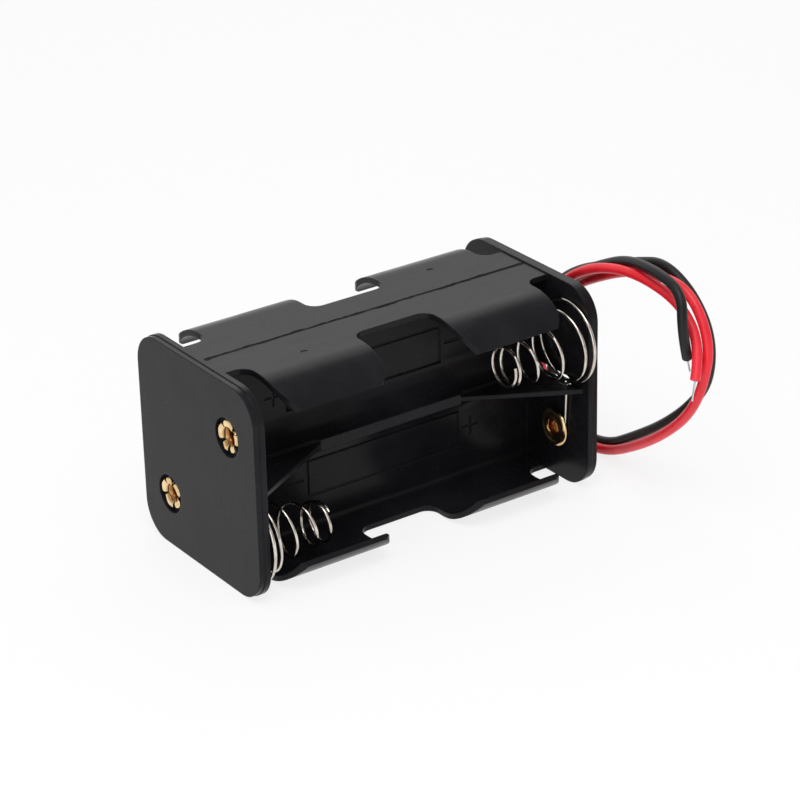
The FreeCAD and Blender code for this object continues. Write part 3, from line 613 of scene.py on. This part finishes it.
def eyelet_piece(name, settings, material):
    """Rolled flange, barrel and petals of an eyelet as one piece in the row frame."""
    side_y, side_z, side_x = EYELETS[name]
    leaf = bpy.data.objects.new(name + "_leaf", petal_mesh(name))
    bpy.context.scene.collection.objects.link(leaf)
    thick = leaf.modifiers.new("sheet", "SOLIDIFY")
    thick.thickness = settings.sheet
    thick.offset = 0.0
    finer = leaf.modifiers.new("finer", "SUBSURF")
    finer.levels = 1
    petals = converted(name + "_petals", leaf)
    shape = bmesh.new()
    shape.from_mesh(petals.data)
    bpy.data.objects.remove(petals)
    count = settings.segments
    rings = []
    for index in range(count):
        angle = index / count * 2 * math.pi
        round_share = 1 + settings.ovality * math.sin(2 * angle + side_y + 2 * side_z)
        rings.append([shape.verts.new((
            side_x * (PLATE_INSIDE - height / 1000),
            BAY_Y * side_y + radius * round_share * math.cos(angle) / 1000,
            MIDDLE + BAY_RISE * side_z + radius * round_share * math.sin(angle) / 1000))
            for radius, height in EYELET_SECTION])
    corners = len(EYELET_SECTION)
    for index, ring in enumerate(rings):
        other = rings[(index + 1) % count]
        for i in range(corners):
            after = (i + 1) % corners
            shape.faces.new((ring[i], ring[after], other[after], other[i]))
    bmesh.ops.recalc_face_normals(shape, faces=shape.faces)
    for face in shape.faces:
        face.smooth = True
    mesh = bpy.data.meshes.new(name + "_brass")
    shape.to_mesh(mesh)
    shape.free()
    piece = bpy.data.objects.new(name + "_brass", mesh)
    bpy.context.scene.collection.objects.link(piece)
    set_material(piece, material)
    return piece


# Stripped strands


def strand_points(start, along, number, settings):
    """Points along one strand of a stripped end, twisted round its middle, fanned at the tip."""
    side = along.orthogonal().normalized()
    other = along.cross(side)
    length = settings.tip_length * (1 - 0.02 * (number % 3))
    points = []
    for index in range(13):
        share = index / 12
        angle = number / OUTER_STRANDS * 2 * math.pi + share * settings.strand_twist
        reach = 0.0
        if number < OUTER_STRANDS:
            reach = settings.strand * 2 * (1 + 0.22 * share ** 3 * math.sin(2.4 * number))
        points.append(start + along * length * share
                      + (side * math.cos(angle) + other * math.sin(angle)) * reach)
    return points


# Settings


def tint_setting(finish, end):
    """A setting for one end of a finish's range of tints, 0 for the darkest, 1 for the lightest."""
    word = ("Darkest", "Lightest")[end]
    words = finish.replace("_", " ")
    return FloatVectorProperty(name=word + " " + words.title(),
                               description=word + " tint of the " + words,
                               default=TINTS[finish][end], subtype="COLOR", min=0.0, max=1.0)


class CellHolderTints(bpy.types.PropertyGroup):
    moulded_plastic_dark: tint_setting("moulded_plastic", 0)
    moulded_plastic_light: tint_setting("moulded_plastic", 1)
    nickel_dark: tint_setting("nickel", 0)
    nickel_light: tint_setting("nickel", 1)
    brass_dark: tint_setting("brass", 0)
    brass_light: tint_setting("brass", 1)
    red_insulation_dark: tint_setting("red_insulation", 0)
    red_insulation_light: tint_setting("red_insulation", 1)
    black_insulation_dark: tint_setting("black_insulation", 0)
    black_insulation_light: tint_setting("black_insulation", 1)
    tinned_copper_dark: tint_setting("tinned_copper", 0)
    tinned_copper_light: tint_setting("tinned_copper", 1)
    solder_dark: tint_setting("solder", 0)
    solder_light: tint_setting("solder", 1)


class CellHolderFlash(bpy.types.PropertyGroup):
    bead: FloatProperty(name="Bead", description="Radius of the flash along the parting line",
                        default=0.0001, unit="LENGTH", precision=5)
    gap: FloatProperty(name="Gap", description="Flash to the middle of the parting line",
                       default=0.00017, unit="LENGTH", precision=5)
    ragged: FloatProperty(name="Ragged", description="How far the flash wanders",
                          default=0.00024, unit="LENGTH", precision=5)
    step: FloatProperty(name="Step", description="Length between two corners of the flash",
                        default=0.0004, unit="LENGTH", precision=5)


class CellHolderEyelets(bpy.types.PropertyGroup):
    sheet: FloatProperty(name="Sheet", description="Thickness of the brass petals",
                         default=0.00014, unit="LENGTH", precision=5)
    segments: IntProperty(name="Segments", description="Faces round an eyelet", default=64, min=12)
    ovality: FloatProperty(name="Ovality", description="How far the rolled flange is out of round",
                           default=0.008, min=0.0, max=0.05, precision=3)


class CellHolderSprings(bpy.types.PropertyGroup):
    wire: FloatProperty(name="Wire", description="Diameter of the spring wire",
                        default=0.0005, unit="LENGTH", precision=5)
    base_radius: FloatProperty(name="Base Radius", description="Widest turn, to the wire's centre",
                               default=0.0062, unit="LENGTH", precision=5)
    tip_radius: FloatProperty(name="Tip Radius",
                              description="Narrowest turn, to the wire's centre",
                              default=0.00285, unit="LENGTH", precision=5)
    length: FloatProperty(name="Length", description="Free length of a spring",
                          default=0.0123, unit="LENGTH", precision=5)
    squeezed: FloatProperty(name="Squeezed", description="Share of its length left when pressed",
                            default=0.27, subtype="FACTOR", min=0.0, max=1.0)


class CellHolderLeads(bpy.types.PropertyGroup):
    diameter: FloatProperty(name="Diameter", description="Diameter of the insulation",
                            default=0.0015, unit="LENGTH", precision=5)
    red_length: FloatProperty(name="Red Length", description="Length of the red lead",
                              default=0.1634, unit="LENGTH", precision=4)
    black_length: FloatProperty(name="Black Length", description="Length of the black lead",
                                default=0.1727, unit="LENGTH", precision=4)
    tip_length: FloatProperty(name="Tip Length", description="Stripped length at the free end",
                              default=0.0033, unit="LENGTH", precision=4)
    strand: FloatProperty(name="Strand", description="Radius of one strand",
                          default=0.00005, unit="LENGTH", precision=5)
    strand_twist: FloatProperty(name="Strand Twist",
                                description="Turn of the strands over the tip",
                                default=3.6, subtype="ANGLE", unit="ROTATION")


class CellHolderStage(bpy.types.PropertyGroup):
    key_power: FloatProperty(name="Key Light", description="Power of the large softbox above",
                             default=1.15, unit="POWER")
    fill_power: FloatProperty(name="Fill Light", description="Power of the front softbox",
                              default=0.35, unit="POWER")
    back_power: FloatProperty(name="Back Light",
                              description="Power of the softbox behind and above",
                              default=0.36, unit="POWER")
    front: FloatProperty(name="Front", description="Reach of the paper in front and to the sides",
                         default=2.0, unit="LENGTH")
    back: FloatProperty(name="Back", description="Where the paper stands up behind the object",
                        default=0.75, unit="LENGTH")
    bend: FloatProperty(name="Bend", description="Radius of the paper's bend",
                        default=0.25, unit="LENGTH")
    rise: FloatProperty(name="Rise", description="Height of the paper", default=1.1, unit="LENGTH")
    lens: FloatProperty(name="Lens", description="Focal length of the camera",
                        default=133.06, unit="CAMERA")


# Operators


class OBJECT_OT_cell_holder_housing(bpy.types.Operator):
    """Give the moulded housing its plastic, the flash of its parting line and its gate marks"""
    bl_idname = "object.cell_holder_housing"
    bl_label = "Dress Housing"

    def execute(self, context):
        settings = context.scene.cell_holder_flash
        plastic = plastic_material()
        set_material(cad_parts["housing"], plastic)
        beads = []
        for upwards in (1, -1):
            for side in (-1, 1):
                line = flash_points(settings, upwards, side)
                beads.append(tube("flash", line, settings.bead, 8, plastic))
        for x, y in GATES:
            arc = [Vector((x + GATE_REACH[0] * math.cos(angle / 5),
                           y + GATE_REACH[1] * math.sin(angle / 5),
                           MIDDLE + WALL_TOP)) for angle in range(1, 12)]
            beads.append(tube("gate", arc, settings.bead, 8, plastic))
        flash = joined("moulding_flash", beads)
        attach(flash, "housing")
        return {"FINISHED"}


class OBJECT_OT_cell_holder_springs(bpy.types.Operator):
    """Make the four conical contact springs with their link wires"""
    bl_idname = "object.cell_holder_springs"
    bl_label = "Make Springs"

    def execute(self, context):
        settings = context.scene.cell_holder_springs
        nickel = metal_material("nickel", 0.11, 2600.0)
        for name, ((_, _, side_x), *_) in SPRINGS.items():
            points = spring_points(name, settings)
            piece = tube(name + "_wire", points, settings.wire / 2, 12, nickel)
            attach(piece, "housing")
            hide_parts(name)
            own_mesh(piece)
        return {"FINISHED"}


class OBJECT_OT_cell_holder_eyelets(bpy.types.Operator):
    """Make the riveted eyelets with their rolled flanges and clenched petals"""
    bl_idname = "object.cell_holder_eyelets"
    bl_label = "Make Eyelets"

    def execute(self, context):
        settings = context.scene.cell_holder_eyelets
        brass = metal_material("brass", 0.19, 2600.0)
        # Painted shade and tarnish inside the bores
        shade_and_tarnish_bore(brass)
        for name in EYELETS:
            piece = eyelet_piece(name, settings, brass)
            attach(piece, "housing")
            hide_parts(name)
        return {"FINISHED"}


class OBJECT_OT_cell_holder_leads(bpy.types.Operator):
    """Make the red and the black lead with their stripped ends"""
    bl_idname = "object.cell_holder_leads"
    bl_label = "Make Leads"

    def execute(self, context):
        settings = context.scene.cell_holder_leads
        red = insulation_material("red_insulation", 0.36)
        black = insulation_material("black_insulation", 0.42)
        black.node_tree.nodes["Principled BSDF"].inputs["Specular IOR Level"].default_value = 0.3
        tin = metal_material("tinned_copper", 0.3, 3000.0)
        solder = metal_material("solder", 0.35, 2000.0)
        for color, side, route, length, material in (
                ("red", -1, RED_ROUTE, settings.red_length, red),
                ("black", 1, BLACK_ROUTE, settings.black_length, black)):
            name = color + "_lead"
            start = SLOT + Vector((-LEAD_START, LEAD_SIDE * side, 0))
            guide = SLOT + Vector((LEAD_STRAIGHT, LEAD_SIDE * side, 0))
            points = [start, guide] + [SLOT + Vector(corner) / 1000 for corner in route]
            data = bpy.data.curves.new(name + "_line", "CURVE")
            data.dimensions = "3D"
            spline = data.splines.new("NURBS")
            spline.points.add(len(points) - 1)
            for corner, point in zip(spline.points, points):
                corner.co = (*point, 1.0)
            spline.order_u = 3
            spline.use_endpoint_u = True
            data.resolution_u = 8
            data.bevel_depth = settings.diameter / 2
            data.bevel_resolution = 5
            data.use_fill_caps = True
            data.materials.append(material)
            piece = bpy.data.objects.new(name + "_cord", data)
            context.scene.collection.objects.link(piece)
            along = (points[-1] - points[-2]).normalized()
            root = points[-1] - along * STRAND_SET
            strands = [tube("strand", strand_points(root, along, number, settings),
                            settings.strand, 8, tin) for number in range(OUTER_STRANDS + 1)]
            tip = joined(name + "_strands", strands)
            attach(tip, "housing")
            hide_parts(name + "_tip")
            set_material(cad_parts[name + "_core"], tin)
            set_material(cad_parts[color + "_solder_joint"], solder)
            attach(piece, "housing")
            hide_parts(name)
        return {"FINISHED"}


class OBJECT_OT_cell_holder_stage(bpy.types.Operator):
    """Set the white floor, the softboxes and the camera"""
    bl_idname = "object.cell_holder_stage"
    bl_label = "Set Stage"

    def execute(self, context):
        settings = context.scene.cell_holder_stage
        scene = context.scene
        scene.view_settings.view_transform = "Standard"
        world = bpy.data.worlds.new("studio")
        scene.world = world
        world.use_nodes = True
        soft = world.node_tree.nodes["Background"]
        soft.inputs["Color"].default_value = (1.0, 1.0, 1.0, 1.0)
        soft.inputs["Strength"].default_value = WORLD_STRENGTH

        outline = [(-settings.front, 0.0), (settings.back - settings.bend, 0.0)]
        for index in range(1, 17):
            angle = index / 16 * math.pi / 2
            outline.append((settings.back - settings.bend + settings.bend * math.sin(angle),
                            settings.bend - settings.bend * math.cos(angle)))
        outline.append((settings.back, settings.rise))
        corners = [FLOOR_AWAY * run + FLOOR_ASIDE * side + Vector((0, 0, height))
                   for side in (-settings.front, settings.front) for run, height in outline]
        count = len(outline)
        mesh = bpy.data.meshes.new("sweep")
        mesh.from_pydata(corners, [], [(i, i + count, i + count + 1, i + 1)
                                       for i in range(count - 1)])
        for face in mesh.polygons:
            face.use_smooth = True
        sweep = bpy.data.objects.new("sweep", mesh)
        scene.collection.objects.link(sweep)
        sweep.data.materials.append(paper_material())

        for name, (place, target, size) in LAMPS.items():
            light = bpy.data.lights.new(name, "AREA")
            light.energy = getattr(settings, name + "_power")
            light.size = size
            lamp = bpy.data.objects.new(name, light)
            lamp.location = place
            aim = Vector(target) - Vector(place)
            lamp.rotation_euler = aim.to_track_quat("-Z", "Y").to_euler()
            scene.collection.objects.link(lamp)

        camera = bpy.data.cameras.new("camera")
        camera.lens = settings.lens
        camera.sensor_width = 36.0
        view = bpy.data.objects.new("camera", camera)
        turn = Matrix((CAMERA_RIGHT, CAMERA_UP, CAMERA_BACK)).transposed()
        view.matrix_world = Matrix.Translation(CAMERA_PLACE) @ turn.to_4x4()
        scene.collection.objects.link(view)
        scene.camera = view
        return {"FINISHED"}


class VIEW3D_PT_cell_holder(bpy.types.Panel):
    """Buttons and sizes of the cell holder"""
    bl_label = "Cell Holder"
    bl_idname = "VIEW3D_PT_cell_holder"
    bl_space_type = "VIEW_3D"
    bl_region_type = "UI"
    bl_category = "Cell Holder"

    def draw(self, context):
        layout = self.layout
        scene = context.scene
        for operator in OPERATORS:
            layout.operator(operator.bl_idname)
        for settings in (scene.cell_holder_flash, scene.cell_holder_springs,
                         scene.cell_holder_eyelets, scene.cell_holder_leads,
                         scene.cell_holder_tints, scene.cell_holder_stage):
            box = layout.box()
            for name in settings.__annotations__:
                box.prop(settings, name)


OPERATORS = (
    OBJECT_OT_cell_holder_housing,
    OBJECT_OT_cell_holder_springs,
    OBJECT_OT_cell_holder_eyelets,
    OBJECT_OT_cell_holder_leads,
    OBJECT_OT_cell_holder_stage,
)
CLASSES = (
    CellHolderTints,
    CellHolderFlash,
    CellHolderSprings,
    CellHolderEyelets,
    CellHolderLeads,
    CellHolderStage,
    *OPERATORS,
    VIEW3D_PT_cell_holder,
)


def register():
    for item in CLASSES:
        bpy.utils.register_class(item)
    bpy.types.Scene.cell_holder_tints = PointerProperty(type=CellHolderTints)
    bpy.types.Scene.cell_holder_flash = PointerProperty(type=CellHolderFlash)
    bpy.types.Scene.cell_holder_springs = PointerProperty(type=CellHolderSprings)
    bpy.types.Scene.cell_holder_eyelets = PointerProperty(type=CellHolderEyelets)
    bpy.types.Scene.cell_holder_leads = PointerProperty(type=CellHolderLeads)
    bpy.types.Scene.cell_holder_stage = PointerProperty(type=CellHolderStage)


def unregister():
    del bpy.types.Scene.cell_holder_stage
    del bpy.types.Scene.cell_holder_leads
    del bpy.types.Scene.cell_holder_eyelets
    del bpy.types.Scene.cell_holder_springs
    del bpy.types.Scene.cell_holder_flash
    del bpy.types.Scene.cell_holder_tints
    for item in reversed(CLASSES):
        bpy.utils.unregister_class(item)


def main():
    """Makes every piece and the stage."""
    register()
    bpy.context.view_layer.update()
    bpy.ops.object.cell_holder_housing()
    bpy.ops.object.cell_holder_springs()
    bpy.ops.object.cell_holder_eyelets()
    bpy.ops.object.cell_holder_leads()
    bpy.ops.object.cell_holder_stage()


if __name__ == "__main__":
    main()
